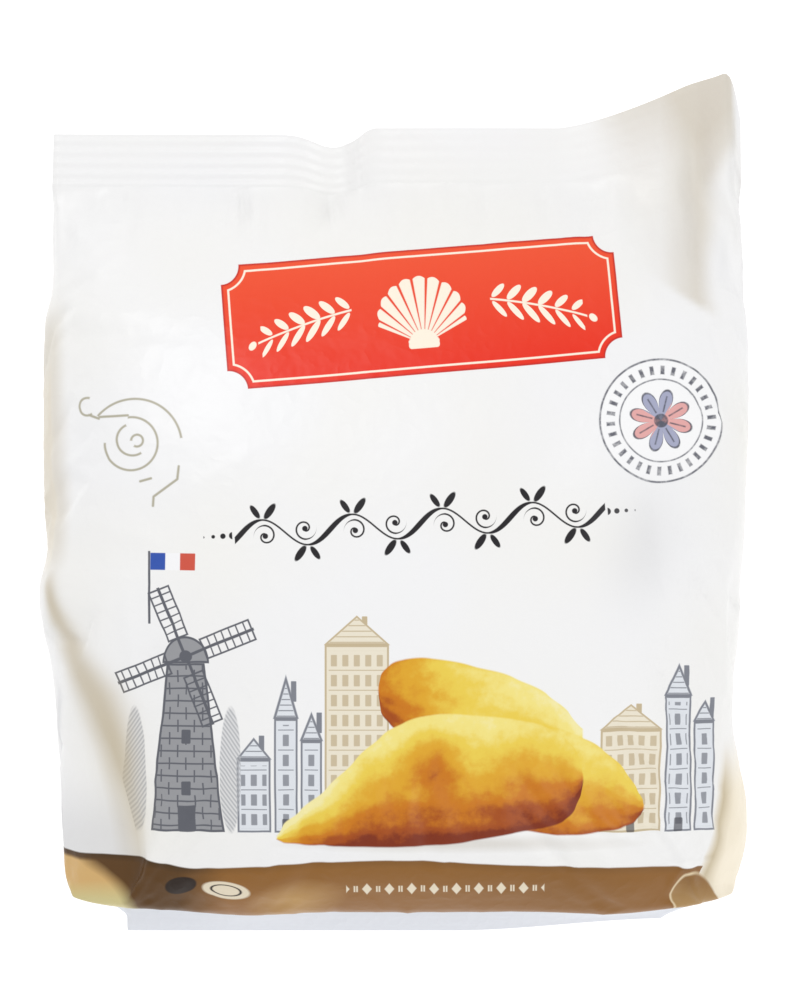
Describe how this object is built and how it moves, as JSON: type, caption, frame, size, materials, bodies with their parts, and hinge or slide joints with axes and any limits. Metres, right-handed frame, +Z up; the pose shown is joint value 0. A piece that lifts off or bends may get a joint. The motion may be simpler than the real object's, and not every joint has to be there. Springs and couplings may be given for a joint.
{
  "type": "shut printed film bag of madeleine cakes",
  "caption": "Sealed film bag of soft small cakes, with folded side gussets, a flat crimped top seal and a turned-down bottom seal, lying on its back.",
  "frame": {"origin": "middle of the bounding box, on the surface that the bag's back lies on", "axes": "+X to the right of the printed panel, +Y towards the top seal, +Z up, out of the printed panel"},
  "size_m": [0.195, 0.237, 0.0622],
  "materials": {
    "film": "satin printed film, white with a gold-brown band, cream gussets and a red plaque"
  },
  "bodies": {
    "root": {"bag": "film"}
  },
  "joints": []
}
